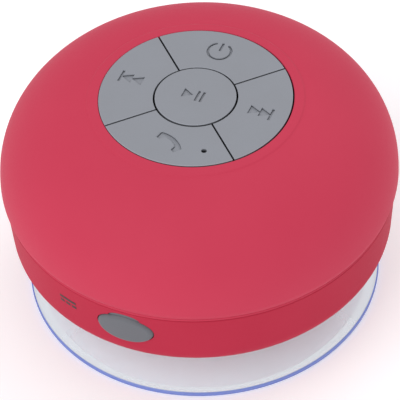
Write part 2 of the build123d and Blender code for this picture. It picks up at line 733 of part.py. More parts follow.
with BuildPart() as speaker_basket:
    add(turned(
        (20.9, FLANGE_Z), (26.4, FLANGE_Z), (26.4, 18.8), (22.6, 18.8), (16.4, 27.2), (16.4, PLATE_Z),
        (11.5, PLATE_Z), (11.5, 28.5), (15.2, 28.5), (15.2, 27.6), (13.2, 27.6), (13.2, 26.8),
        (15.3, 26.8), (20.9, 18.8),
    ))
    with BuildSketch(Plane.XY.offset(FLANGE_Z)):
        with PolarLocations(SPEAKER_SCREW_R, 4):
            Circle(0.9)
    extrude(amount=1, mode=Mode.SUBTRACT)
    with PolarLocations(19.5, 4, start_angle=45):
        with Locations((0, 0, 23.2)):
            Box(10, 15, 5.0, mode=Mode.SUBTRACT)
finish(speaker_basket, "speaker_basket")

with BuildPart() as speaker_terminals:
    add(block((-LEAD_X - 2.5, -LEAD_X + 2.5), (TERMINAL_Y - 0.6, TERMINAL_Y + 0.7), (18.8, TERMINAL_TOP_Z)))
finish(speaker_terminals, "speaker_terminals")

with BuildPart() as speaker_screws:
    with PolarLocations(SPEAKER_SCREW_R, 4):
        with Locations((0, 0, 18.8)):
            Cylinder(1.6, 1.1, align=(Align.CENTER, Align.CENTER, Align.MIN))
        with Locations((0, 0, 14.5)):
            Cylinder(0.8, 4.3, align=(Align.CENTER, Align.CENTER, Align.MIN))
finish(speaker_screws, "speaker_screws")

with BuildPart() as speaker_top_plate:
    add(ring(8.0, 15.0, PLATE_Z, MAGNET_Z))
finish(speaker_top_plate, "speaker_top_plate")

with BuildPart() as speaker_magnet:
    add(ring(9.5, 16.0, MAGNET_Z, YOKE_Z))
finish(speaker_magnet, "speaker_magnet")

with BuildPart() as speaker_yoke:
    add(turned((0, PLATE_Z), (POLE_R, PLATE_Z), (POLE_R, YOKE_Z), (15.0, YOKE_Z), (15.0, 38.1), (14.6, 38.5),
               (0, 38.5)))
finish(speaker_yoke, "speaker_yoke")

with BuildPart() as voice_coil:
    add(turned((7.0, 24.9), (CONE_INNER_R, 24.9), (CONE_INNER_R, 28.0), (7.6, 28.0), (7.6, 33.0),
               (CONE_INNER_R, 33.0), (CONE_INNER_R, 33.6), (7.0, 33.6)))
finish(voice_coil, "voice_coil")

with BuildPart() as cone:
    add(turned((CONE_OUTER_R, CONE_EDGE_Z), (CONE_OUTER_R, 18.1), (CONE_INNER_R, 25.7), (CONE_INNER_R, 25.1)))
finish(cone, "cone")

with BuildPart() as dust_cap:
    with BuildSketch(Plane.XZ):
        with BuildLine():
            TangentArc((0, 22.9), (CONE_INNER_R, 24.5), tangent=(1, 0))
            Line((CONE_INNER_R, 24.5), (CONE_INNER_R, 24.9))
            TangentArc((0, 23.3), (CONE_INNER_R, 24.9), tangent=(1, 0))
            Line((0, 23.3), (0, 22.9))
        make_face()
    revolve(axis=Axis.Z)
finish(dust_cap, "dust_cap")

with BuildPart() as surround:
    with BuildSketch(Plane.XZ):
        with Locations((19.6, 17.4)):
            Circle(1.6)
            Circle(1.2, mode=Mode.SUBTRACT)
            Rectangle(4, 2, align=(Align.CENTER, Align.MIN), mode=Mode.SUBTRACT)
        with Locations((21.75, CONE_EDGE_Z)):
            Rectangle(1.9, 0.4)
        with Locations((17.8, 17.4)):
            Rectangle(1.2, 0.4)
    revolve(axis=Axis.Z)
finish(surround, "surround")

with BuildPart() as spider:
    low = [(CONE_INNER_R + 1.4 * i, 26.05 if i % 2 else 26.3) for i in range(5)]
    high = [(r, z + 0.3) for r, z in reversed(low)]
    add(turned(*low, (15.0, 26.5), (15.0, 26.8), (13.2, 26.8), *high))
finish(spider, "spider")

with BuildPart() as grille_cloth:
    add(ring(9.5, 22.0, FLOOR_Z, FLOOR_Z + 0.2))
finish(grille_cloth, "grille_cloth")
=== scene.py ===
import math

import bpy
import numpy as np
from mathutils import Matrix, Vector


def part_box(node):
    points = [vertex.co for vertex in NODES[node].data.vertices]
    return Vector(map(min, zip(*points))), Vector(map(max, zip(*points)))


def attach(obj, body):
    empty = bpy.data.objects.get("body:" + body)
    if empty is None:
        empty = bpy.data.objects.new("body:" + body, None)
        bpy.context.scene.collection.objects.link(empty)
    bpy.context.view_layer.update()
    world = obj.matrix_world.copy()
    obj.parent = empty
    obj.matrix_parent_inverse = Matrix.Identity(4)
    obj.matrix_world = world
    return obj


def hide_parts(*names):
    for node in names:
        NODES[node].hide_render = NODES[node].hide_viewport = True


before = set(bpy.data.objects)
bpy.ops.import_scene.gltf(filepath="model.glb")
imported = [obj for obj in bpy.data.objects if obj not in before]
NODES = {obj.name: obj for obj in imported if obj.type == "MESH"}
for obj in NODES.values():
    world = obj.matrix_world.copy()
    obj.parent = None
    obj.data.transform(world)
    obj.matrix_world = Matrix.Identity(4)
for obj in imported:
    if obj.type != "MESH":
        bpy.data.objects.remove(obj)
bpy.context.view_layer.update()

bl_info = {
    "name": "Shower Speaker",
    "version": (1, 0, 0),
    "blender": (4, 5, 0),
    "location": "View3D > Sidebar > Speaker",
    "description": "Builds a shower speaker with a rubber dome, silicone keys and a clear suction cup",
    "category": "Add Mesh",
}

MM = 0.001


def box_mm(node):
    """Lowest and highest corner of a CAD node, in millimetres."""
    return [np.array(corner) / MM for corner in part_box(node)]


DOME_LOW, DOME_HIGH = box_mm("dome_cover")
KEY_LOW, KEY_HIGH = box_mm("key_next")
CENTRE_HIGH = box_mm("key_play_pause")[1]
PLUG_LOW = box_mm("port_plug")[0]
CUP_HIGH = box_mm("suction_cup")[1]
SEAL_LOW, SEAL_HIGH = box_mm("housing_seal")

BODY_R = DOME_HIGH[0]               # widest radius of the dome
EQUATOR_Z = DOME_LOW[2] + 2.2       # height of that radius
FLAT_R = 17.7                       # where the top starts to fall away
DOME_POWER = 2.15                   # exponent of the dome's superellipse
COVER_T = 1.4                       # rubber thickness
COVER_FOOT_R = 42.4                 # outer radius of the dome's lower edge
COVER_FOOT_ROUND = 0.3
KEY_TOP_Z = KEY_HIGH[2]
KEY_R = KEY_HIGH[0]
KEY_T = 2.8
KEY_GAP = 0.4
HOLE_R = KEY_R + 0.2
GROOVE_R = CENTRE_HIGH[0] + KEY_GAP / 2
KEY_PEG = (14.0, 0, 1.2)            # reach, turn in radians and radius of a sector key's stem
KEY_PINS = ((18.5, 0.2618, 0.85), (18.5, -0.2618, 0.85))
MIC_PLACE = (16.35, 298.5)          # radius and angle of the microphone hole
PLUG_HALF_W, PLUG_HALF_H = 6.3, 3.65
PORT_Z = PLUG_LOW[2] + PLUG_HALF_H
PLUG_FACE_R = 42.62                 # the face follows a cylinder about the body's axis
PLUG_LIP_HALF_W, PLUG_LIP_HALF_H = 3.4, 1.25
PLUG_LIP_ROUND = 0.35
PLUG_LIP_BACK = 0.55                # how far the finger lip lies behind the face
PLUG_SEAT_Y, PLUG_BOSS_Y = 40.6, 38.7
BAND_LOW = (41.6, 17.7)             # radius and height where the band starts above its foot
BAND_HIGH = (42.35, 27.8)           # and where it ends
WELL_SHIFT = (0.11, 0.05)           # the key well's middle in the rubber, from the keys' middle


# ------------------------------------------------------------------ meshes

def skin(grid, first=None, last=None, wrap_rows=False, wrap_columns=True):
    """Quads between neighbours of a (rows, columns, 3) grid, with a fan to a pole before the first row
    and after the last. Faces look to row direction x column direction."""
    rows, columns = grid.shape[:2]
    i, j = np.meshgrid(
        np.arange(rows if wrap_rows else rows - 1), np.arange(columns if wrap_columns else columns - 1),
        indexing="ij")
    i_next, j_next = (i + 1) % rows, (j + 1) % columns
    quads = np.stack([
        i * columns + j, i_next * columns + j, i_next * columns + j_next, i * columns + j_next], axis=-1)
    points = [grid.reshape(-1, 3)]
    faces = quads.reshape(-1, 4).tolist()
    j = np.arange(columns)
    pole = rows * columns
    if first is not None:
        points.append(np.array([first]))
        faces += np.stack([0 * j + pole, j, (j + 1) % columns], axis=-1).tolist()
        pole += 1
    if last is not None:
        low = (rows - 1) * columns
        points.append(np.array([last]))
        faces += np.stack([low + j, 0 * j + pole, low + (j + 1) % columns], axis=-1).tolist()
    return np.concatenate(points), faces


def revolve(profile, segments, closed=False, centre=(0.0, 0.0)):
    """Surface of revolution: (r, z) becomes (r cos t, r sin t, z), with the outside on the profile's left.
    An end at r = 0 becomes a pole."""
    first = (*centre, profile[0, 1]) if profile[0, 0] == 0 else None
    last = (*centre, profile[-1, 1]) if profile[-1, 0] == 0 else None
    band = profile[profile[:, 0] > 0]
    turn = np.linspace(0, 2 * np.pi, segments, endpoint=False)[None, :]
    r, z = band[:, :1], band[:, 1:]
    grid = np.stack([centre[0] + r * np.cos(turn), centre[1] + r * np.sin(turn), z + 0 * turn], axis=-1)
    return skin(grid, first, last, wrap_rows=closed)


def join(*shells):
    """Several (points, faces) shells as one."""
    faces, start = [], 0
    for points, shell_faces in shells:
        faces += [[start + index for index in face] for face in shell_faces]
        start += len(points)
    return np.concatenate([points for points, _ in shells]), faces


def add_piece(name, shell, material, body, replaces=(), sharp=35):
    """Object at the origin from a shell in millimetres, shaded smooth up to an angle, riding on a body."""
    points, faces = shell
    mesh = bpy.data.meshes.new(name)
    mesh.from_pydata((points * MM).tolist(), [], faces)
    mesh.polygons.foreach_set("use_smooth", np.ones(len(mesh.polygons), bool))
    mesh.set_sharp_from_angle(angle=math.radians(sharp))
    mesh.update()
    piece = bpy.data.objects.new(name, mesh)
    bpy.context.scene.collection.objects.link(piece)
    mesh.materials.append(material)
    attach(piece, body)
    if replaces:
        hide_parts(*replaces)
    return piece


def dress(material, *nodes):
    """Give CAD nodes a material in place of their plain one."""
    for node in nodes:
        NODES[node].data.materials.clear()
        NODES[node].data.materials.append(material)


def arc(centre, radius, start, end, count=8):
    """Points centre + radius * (cos a, sin a), for a from start to end in degrees."""
    a = np.radians(np.linspace(start, end, count))
    return np.stack([centre[0] + radius * np.cos(a), centre[1] + radius * np.sin(a)], axis=-1)


def arc_through(a, b, c, count):
    """Points on the circle through a, b and c, from a to c: its centre is as far from all three."""
    a, b, c = (np.array(p, float) for p in (a, b, c))
    sides = 2 * np.array([b - a, c - a])
    centre = np.linalg.solve(sides, [b @ b - a @ a, c @ c - a @ a])
    start, end = (math.degrees(math.atan2(*(p - centre)[::-1])) for p in (a, c))
    return arc(centre, math.dist(a, centre), start, end, count)


def line(start, end, count=2):
    """Points evenly spaced from start to end."""
    share = np.linspace(0, 1, count)[:, None]
    return np.array(start) * (1 - share) + np.array(end) * share


def packed(low, high, count, closer):
    """Numbers from low to high, packed closer in each (from, to, weight): the running sum of a density
    of 1, plus each weight inside its span, is cut into equal steps."""
    fine = np.linspace(low, high, 4001)
    density = 1 + sum(weight * ((fine > start) & (fine < end)) for start, end, weight in closer)
    total = np.concatenate([[0], np.cumsum((density[1:] + density[:-1]) / 2)])
    return np.interp(np.linspace(0, total[-1], count), total, fine)


def edge_drop(distance, radius):
    """Quarter-round edge: radius - sqrt(radius^2 - (radius - d)^2) below the face, at d from the outline."""
    inward = np.clip(radius - distance, 0, radius)
    return radius - np.sqrt(radius**2 - inward**2)


def smooth_step(value, width):
    """0 below -width, 1 above +width, and 3t^2 - 2t^3 between."""
    t = np.clip(value / (2 * width) + 0.5, 0, 1)
    return t * t * (3 - 2 * t)


# ------------------------------------------------------------------ symbols: distance in mm, below 0 inside

def stroke_distance(x, y, a, b, width):
    """Distance to a round-ended stroke from a to b."""
    a, b = np.array(a), np.array(b)
    along = b - a
    share = np.clip(((x - a[0]) * along[0] + (y - a[1]) * along[1]) / (along @ along), 0, 1)
    return np.hypot(x - a[0] - share * along[0], y - a[1] - share * along[1]) - width / 2


def bar_distance(x, y, centre, size):
    """Distance to an upright rectangle."""
    dx = np.abs(x - centre[0]) - size[0] / 2
    dy = np.abs(y - centre[1]) - size[1] / 2
    return np.hypot(np.maximum(dx, 0), np.maximum(dy, 0)) + np.minimum(np.maximum(dx, dy), 0)


def triangle_distance(x, y, left, right, height):
    """Distance to a triangle that points along +X: the largest of the distances to its three sides."""
    length = math.hypot(right - left, height / 2)
    side = ((x - left) * height / 2 + (np.abs(y) - height / 2) * (right - left)) / length
    return np.maximum(left - x, side)


def outline_distance(x, y, outline):
    """Distance to the nearest side of a closed outline, below 0 where a line to the right crosses an odd
    number of sides."""
    x, y = np.broadcast_arrays(x, y)
    start, end = outline, np.roll(outline, -1, axis=0)
    along = end - start
    dx, dy = x[..., None] - start[:, 0], y[..., None] - start[:, 1]
    share = np.clip((dx * along[:, 0] + dy * along[:, 1]) / (along**2).sum(axis=1), 0, 1)
    away = np.hypot(dx - share * along[:, 0], dy - share * along[:, 1]).min(axis=-1)
    spans = (start[:, 1] > y[..., None]) != (end[:, 1] > y[..., None])
    cross_x = dy * along[:, 0] / np.where(along[:, 1] == 0, 1, along[:, 1])
    inside = (spans & (dx < cross_x)).sum(axis=-1) % 2 == 1
    return np.where(inside, -away, away)


def power_symbol(x, y, stroke):
    """Ring open for 35 degrees each side of its top, with rounded ends, and a bar through the gap."""
    radius, gap = 2.5, math.radians(35)
    ends = np.hypot(np.abs(x) - radius * math.sin(gap), y - radius * math.cos(gap))
    ring = np.where(np.abs(np.arctan2(x, y)) < gap, ends, np.abs(np.hypot(x, y) - radius)) - stroke / 2
    return np.minimum(ring, stroke_distance(x, y, (0, 0.3), (0, 2.4), stroke))


def play_symbol(x, y, stroke):
    """Triangle and two bars."""
    bars = [bar_distance(x, y, (place, 0), (stroke, 3.1)) for place in (0.98, 2.08)]
    return np.minimum.reduce([triangle_distance(x, y, -2.3, 0.05, 2.7), *bars])


def next_symbol(x, y, stroke):
    """Two triangles against a bar."""
    triangles = [triangle_distance(x, y, left, right, 2.65) for left, right in ((-2.7, 0.0), (-0.32, 2.35))]
    return np.minimum.reduce([*triangles, bar_distance(x, y, (2.2, 0), (stroke, 3.4))])


def previous_symbol(x, y, stroke):
    """The next symbol turned half way round."""
    return next_symbol(-x, -y, stroke)


def call_symbol(x, y, stroke):
    """Handset tilted 31 degrees: a bow between two arcs, with a foot at each end."""
    tilt = math.radians(-31)
    u = x * math.cos(tilt) + y * math.sin(tilt)
    v = y * math.cos(tilt) - x * math.sin(tilt)
    outline = np.concatenate([
        arc_through((-3.35, 0), (0, 0.92), (3.35, 0), 16), [(3.0, -1.85), (2.05, -1.75)],
        arc_through((1.72, -0.55), (0, -0.19), (-1.72, -0.55), 12), [(-2.05, -1.75), (-3.0, -1.85)]])
    return outline_distance(u, v, outline)


# ------------------------------------------------------------------ materials

def linear(colour):
    """sRGB hex such as "C63A53" to linear RGBA."""
    srgb = np.array([int(colour[i:i + 2], 16) for i in (0, 2, 4)]) / 255
    rgb = np.where(srgb <= 0.04045, srgb / 12.92, ((srgb + 0.055) / 1.055) ** 2.4)
    return (*rgb.tolist(), 1.0)


def add_node(tree, kind, inputs=None, **settings):
    """One node with its settings, its fixed inputs and its links."""
    node = tree.nodes.new(kind)
    for name, value in settings.items():
        setattr(node, name, value)
    for name, value in (inputs or {}).items():
        if isinstance(value, bpy.types.NodeSocket):
            tree.links.new(value, node.inputs[name])
        else:
            node.inputs[name].default_value = value
    return node


def start_material(name):
    """Empty node material, its tree and its object coordinates."""
    material = bpy.data.materials.new(name)
    material.use_nodes = True
    tree = material.node_tree
    tree.nodes.clear()
    return material, tree, add_node(tree, "ShaderNodeTexCoord").outputs["Object"]


def end_material(tree, height, relief_mm, inputs):
    """Principled shader with a relief of a height pattern, joined to the output."""
    bump = add_node(tree, "ShaderNodeBump", {"Height": height, "Strength": 1.0, "Distance": relief_mm * MM})
    shader = add_node(tree, "ShaderNodeBsdfPrincipled", {"Normal": bump.outputs["Normal"], **inputs})
    add_node(tree, "ShaderNodeOutputMaterial", {"Surface": shader.outputs["BSDF"]})


def grained(name, colour, shade, roughness, grain_mm, relief_mm, drift_mm=12.0, **inputs):
    """Moulded, sprayed or cast surface: the colour drifts a little, and a fine grain shows in gloss and
    relief."""
    material, tree, place = start_material(name)
    drift = add_node(tree, "ShaderNodeTexNoise", {
        "Vector": place, "Scale": 1 / (drift_mm * MM), "Detail": 3.0})
    grain = add_node(tree, "ShaderNodeTexNoise", {
        "Vector": place, "Scale": 1 / (grain_mm * MM), "Detail": 2.0})
    tint = add_node(tree, "ShaderNodeMix", {0: drift.outputs["Fac"], 6: linear(shade), 7: linear(colour)},
                    data_type="RGBA")
    gloss = add_node(tree, "ShaderNodeMapRange", {
        "Value": grain.outputs["Fac"], "From Min": 0.3, "From Max": 0.7,
        "To Min": roughness - 0.05, "To Max": roughness + 0.05})
    end_material(tree, grain.outputs["Fac"], relief_mm, {
        "Base Color": tint.outputs[2], "Roughness": gloss.outputs["Result"], **inputs})
    return material


def key_silicone(name, colour, shade, top_z):
    """Silicone pressed in a blasted steel mould: an even, dull skin, with a painted highlight on the rounded
    edges and painted shade on the walls of the sunk symbols and in the gaps, each set by its depth below the
    key's top."""
    material = grained(name, colour, shade, 0.62, 0.3, 0.004, 8.0)
    tree = material.node_tree
    shader = next(node for node in tree.nodes if node.type == "BSDF_PRINCIPLED")
    place = next(node for node in tree.nodes if node.type == "TEX_COORD").outputs["Object"]
    height = add_node(tree, "ShaderNodeSeparateXYZ", {"Vector": place}).outputs["Z"]
    depth = add_node(tree, "ShaderNodeMapRange", {
        "Value": height, "From Min": top_z * MM, "From Max": (top_z - 1.0) * MM})
    # Along the ramp, 0 is the key's top and 1 is 1 mm down: rounded edge with a painted highlight, wall with
    # painted shade, symbol floor, gap with painted shade.
    painted_light_and_shade = add_node(tree, "ShaderNodeValToRGB", {"Fac": depth.outputs["Result"]})
    stops = painted_light_and_shade.color_ramp.elements
    stops[0].position, stops[0].color = 0.012, linear("C4C4C4")
    stops[1].position, stops[1].color = 1.0, linear("404040")
    for position, grey in ((0.05, "E2E2E2"), (0.16, "E2E2E2"), (0.24, "707070"), (0.40, "707070"),
                           (0.44, "C4C4C4"), (0.47, "C4C4C4"), (0.52, "505050")):
        stops.new(position).color = linear(grey)
    base = shader.inputs["Base Color"].links[0].from_socket
    # The painted highlight and painted shade are multiplied into the key's colour.
    with_painted_light_and_shade = add_node(tree, "ShaderNodeMix", {0: 1.0, 6: base, 7: painted_light_and_shade.outputs["Color"]},
                     data_type="RGBA", blend_type="MULTIPLY")
    tree.links.new(with_painted_light_and_shade.outputs[2], shader.inputs["Base Color"])
    return material


def lined(name, colour, groove, roughness, pitch_mm, relief_mm, direction, rings=False, wobble=0.0, **inputs):
    """Parallel lines, or rings about the axis: wire turns, tooling marks or printed conductors."""
    material, tree, place = start_material(name)
    kind = {"wave_type": "RINGS", "rings_direction": direction} if rings else {"bands_direction": direction}
    lines = add_node(tree, "ShaderNodeTexWave", {
        "Vector": place, "Scale": 0.314 / (pitch_mm * MM), "Distortion": wobble, "Detail": 2.0,
        "Detail Scale": 1.0}, **kind)
    tint = add_node(tree, "ShaderNodeMix", {0: lines.outputs["Fac"], 6: linear(groove), 7: linear(colour)},
                    data_type="RGBA")
    gloss = add_node(tree, "ShaderNodeMapRange", {
        "Value": lines.outputs["Fac"], "To Min": roughness + 0.08, "To Max": roughness - 0.04})
    end_material(tree, lines.outputs["Fac"], relief_mm, {
        "Base Color": tint.outputs[2], "Roughness": gloss.outputs["Result"], **inputs})
    return material


def woven(name, thread, hole, roughness, pitch_mm, relief_mm, **inputs):
    """Plain weave: warp along X and weft along Y, each a row of round threads, the higher one on top."""
    material, tree, place = start_material(name)
    warp, weft = (add_node(tree, "ShaderNodeTexWave", {"Vector": place, "Scale": 0.314 / (pitch_mm * MM)},
                           bands_direction=direction) for direction in ("X", "Y"))
    cloth = add_node(tree, "ShaderNodeMath", {0: warp.outputs["Fac"], 1: weft.outputs["Fac"]},
                     operation="MAXIMUM")
    tint = add_node(tree, "ShaderNodeMix", {0: cloth.outputs["Value"], 6: linear(hole), 7: linear(thread)},
                    data_type="RGBA")
    end_material(tree, cloth.outputs["Value"], relief_mm, {
        "Base Color": tint.outputs[2], "Roughness": roughness, **inputs})
    return material


def cellular(name, colour, pore, roughness, cell_mm, relief_mm, **inputs):
    """Cells or fibres with darker boundaries: foam, pulp or sintered grains."""
    material, tree, place = start_material(name)
    cells = add_node(tree, "ShaderNodeTexVoronoi", {"Vector": place, "Scale": 1 / (cell_mm * MM)},
                     feature="SMOOTH_F1")
    depth = add_node(tree, "ShaderNodeMapRange", {
        "Value": cells.outputs["Distance"], "From Min": 0.1, "From Max": 0.8})
    tint = add_node(tree, "ShaderNodeMix", {0: depth.outputs["Result"], 6: linear(colour), 7: linear(pore)},
                    data_type="RGBA")
    end_material(tree, depth.outputs["Result"], -relief_mm, {
        "Base Color": tint.outputs[2], "Roughness": roughness, **inputs})
    return material


def solder_mask():
    """Glass-epoxy board, screen printed with solder mask: green gloss, paler over its copper tracks."""
    material, tree, place = start_material("solder_mask")
    tracks = add_node(tree, "ShaderNodeTexBrick", {
        "Vector": place, "Scale": 1 / (4.0 * MM), "Mortar Size": 0.03, "Mortar Smooth": 0.2,
        "Color1": linear("123F22"), "Color2": linear("164A28"), "Mortar": linear("3F7A4A"),
        "Brick Width": 0.9, "Row Height": 0.35})
    end_material(tree, tracks.outputs["Fac"], 0.02, {
        "Base Color": tracks.outputs["Color"], "Roughness": 0.28, "Coat Weight": 0.3})
    return material


def clear_vinyl(film_colour, painted_rim_glow, rim_start, rim_end):
    """Moulded clear vinyl: its faces show as a thin pale film, denser where the eye meets them edge on, and
    its rim is painted deep blue: painted light, for the glow that the tinted vinyl gathers at its edge."""
    material, tree, place = start_material("clear_vinyl")
    across = add_node(tree, "ShaderNodeVectorMath", {0: place, 1: (1.0, 1.0, 0.0)}, operation="MULTIPLY")
    radius = add_node(tree, "ShaderNodeVectorMath", {0: across.outputs["Vector"]}, operation="LENGTH")
    rim = add_node(tree, "ShaderNodeMapRange", {
        "Value": radius.outputs["Value"], "From Min": rim_start * MM, "From Max": rim_end * MM},
        interpolation_type="SMOOTHSTEP")
    facing = add_node(tree, "ShaderNodeLayerWeight", {"Blend": 0.3})
    film = add_node(tree, "ShaderNodeMapRange", {
        "Value": facing.outputs["Facing"], "To Min": 0.22, "To Max": 0.75})
    ripple = add_node(tree, "ShaderNodeTexNoise", {"Vector": place, "Scale": 1 / (9.0 * MM), "Detail": 2.0})
    alpha = add_node(tree, "ShaderNodeMix", {0: rim.outputs["Result"], 2: film.outputs["Result"], 3: 0.85})
    # Painted light: the rim's glow as a deep blue colour over its outermost 0.2 mm.
    colour = add_node(tree, "ShaderNodeMix", {
        0: rim.outputs["Result"], 6: linear(film_colour), 7: linear(painted_rim_glow)}, data_type="RGBA")
    end_material(tree, ripple.outputs["Fac"], 0.05, {
        "Base Color": colour.outputs[2], "Alpha": alpha.outputs[0], "Roughness": 0.12, "IOR": 1.53})
    return material


# ------------------------------------------------------------------ settings

def size(name, description, default, low=0.0, high=0.1):
    """A length that a user may change, in metres."""
    return bpy.props.FloatProperty(name=name, description=description, default=default, min=low, max=high,
                                   subtype="DISTANCE", unit="LENGTH", precision=5)


def shade(name, description, colour):
    """A colour that a user may change."""
    return bpy.props.StringProperty(name=name, description=description, default=colour, maxlen=6)


class SpeakerSizes(bpy.types.PropertyGroup):
    """Lengths of the speaker's details"""
    hole_lip: size("Hole lip", "Rounding of the rubber at the edge of the key well", 0.0002)
    ring_radius: size("Ring radius", "Radius of the faint step round the keys", 0.0231)
    ring_height: size("Ring height", "Drop of the faint step round the keys", 0.00025)
    key_edge: size("Key edge", "Rounding of the keys' top edges", 0.0002)
    symbol_depth: size("Symbol depth", "How deep the symbols are sunk", 0.00045)
    symbol_stroke: size("Symbol stroke", "Line width of the symbols", 0.0005)
    mic_radius: size("Microphone hole", "Radius of the microphone hole", 0.00055)
    plug_edge: size("Plug edge", "Rounding of the port plug's face", 0.0009)
    crease_depth: size("Crease depth", "Depth of the crease between dome and base", 0.00025)


class SpeakerColours(bpy.types.PropertyGroup):
    """Colours of the speaker's materials, as sRGB hex"""
    cover: shade("Cover", "Rubber of the dome", "C93D56")
    # Darker than the dome's lacquer: painted shade on the band below the dome.
    base: shade("Base", "Band and underside of the base", "BC2F48")
    keys: shade("Keys", "Silicone of the keys", "B8BCC7")
    # Darker than the keys' silicone: painted shade on the plug below the dome.
    plug: shade("Plug", "Silicone of the port plug", "65676D")
    film: shade("Cup film", "Body of the suction cup", "E6F6FF")
    # Painted light: the deep blue glow of the cup's rim.
    rim: shade("Cup rim", "Rim of the suction cup", "5570CC")
    floor: shade("Floor", "The floor under the speaker", "F4F4F6")


class SpeakerOperator:
    """What the speaker's operators share"""
    bl_options = {"REGISTER", "UNDO"}

    @property
    def sizes(self):
        return bpy.context.scene.speaker_sizes

    @property
    def colours(self):
        return bpy.context.scene.speaker_colours


# ------------------------------------------------------------------ dome

def dome_curve(inset, count):
    """Superellipse |r|^n + |z|^n = 1 from the flat top to the widest radius, set in by a wall."""
    turn = np.radians(np.linspace(90, 0, count))
    power = 2 / DOME_POWER
    r = FLAT_R + (BODY_R - inset - FLAT_R) * np.cos(turn) ** power
    z = EQUATOR_Z + (KEY_TOP_Z - inset - EQUATOR_Z) * np.sin(turn) ** power
    return np.stack([r, z], axis=-1)


def dome_section(lip, ring_r, ring_drop):
    """Closed section of the rubber: up the key well, over the lip, out over the dome with its step of
    ring_drop at ring_r, under at the crease and back inside."""
    curve = dome_curve(0, 3000)
    reach = np.concatenate([
        packed(HOLE_R + lip, 42.0, 130, [(ring_r - 0.6, ring_r + 0.6, 9)]),
        BODY_R - (BODY_R - 42.0) * (1 - np.linspace(0, 1, 40)[1:]) ** 2])
    outside = np.stack([reach, np.interp(reach, curve[:, 0], curve[:, 1])], axis=-1)
    outside[-1] = (BODY_R, EQUATOR_Z)
    outside[:, 1] -= ring_drop * smooth_step(outside[:, 0] - ring_r, 0.3) * np.exp(
        -np.maximum(outside[:, 0] - ring_r, 0) / 4)
    top = outside[0, 1]
    foot_z, curve_r = DOME_LOW[2], COVER_FOOT_ROUND
    curl = arc_through((BODY_R, EQUATOR_Z), (42.83, 29.7), (COVER_FOOT_R + 0.08, foot_z + curve_r), 14)[1:]
    under = arc((COVER_FOOT_R - 0.22, foot_z + curve_r), curve_r, 0, -90, 6)[1:]
    inside = dome_curve(COVER_T, 60)[::-1]
    inside = inside[inside[:, 0] > HOLE_R]
    return np.concatenate([
        line((HOLE_R, inside[-1, 1]), (HOLE_R, top - lip), 6),
        arc((HOLE_R + lip, top - lip), lip, 180, 90, 8)[1:-1],
        outside, curl, under, [(COVER_FOOT_R - COVER_T, foot_z)], inside])


class SPEAKER_OT_dome(SpeakerOperator, bpy.types.Operator):
    """Rubber dome with its key well and faint step, and the crease below it"""
    bl_idname = "speaker.dome"
    bl_label = "Dome"

    def execute(self, context):
        # Silicone rubber sprayed with soft-touch lacquer: a matt, even colour with almost no shine.
        rubber = grained("soft_touch_rubber", self.colours.cover, "C33851", 0.62, 0.4, 0.004, 20.0,
                         **{"Specular IOR Level": 0.15})
        section = dome_section(self.sizes.hole_lip / MM, self.sizes.ring_radius / MM,
                               self.sizes.ring_height / MM)
        points, faces = revolve(section, 240, closed=True)
        # The well sits a little off centre: a shift that fades out 1 mm either side of 22 mm from the axis.
        near = 1 - smooth_step(np.hypot(points[:, 0], points[:, 1]) - 22.0, 1.0)
        points[:, :2] += near[:, None] * np.array(WELL_SHIFT)
        add_piece("dome_skin", (points, faces), rubber, "housing", ["dome_cover"])
        depth = self.sizes.crease_depth / MM
        low, high = SEAL_LOW[2], SEAL_HIGH[2]
        face = arc_through((42.1, high), (42.08 - depth, (low + high) / 2), (42.05, low), 12)
        inner_r = SEAL_HIGH[0] - 2
        crease = np.concatenate([[(inner_r, high)], face, [(inner_r, low)]])
        add_piece("crease_seal", revolve(crease, 240, closed=True), rubber, "housing", ["housing_seal"])
        return {"FINISHED"}


# ------------------------------------------------------------------ keys

def peg(x, y, radius, low, high):
    """Round peg that hangs below a key."""
    return revolve(np.array([(0, high), (radius, high), (radius, low), (0, low)]), 24, centre=(x, y))


def key_height(x, y, distance, symbol, centre, top_z, sizes, hole=None):
    """Top of a key: its level, less the rounding at its outline, less the sunk symbol and the hole."""
    stroke = sizes.symbol_stroke / MM
    z = top_z - edge_drop(distance, sizes.key_edge / MM)
    z = z - sizes.symbol_depth / MM * smooth_step(-symbol(x - centre[0], y - centre[1], stroke), 0.045)
    if hole:
        from_hole = np.hypot(x - hole[0], y - hole[1])
        z = z - 2.5 * smooth_step(sizes.mic_radius / MM - from_hole, 0.06)
    return z


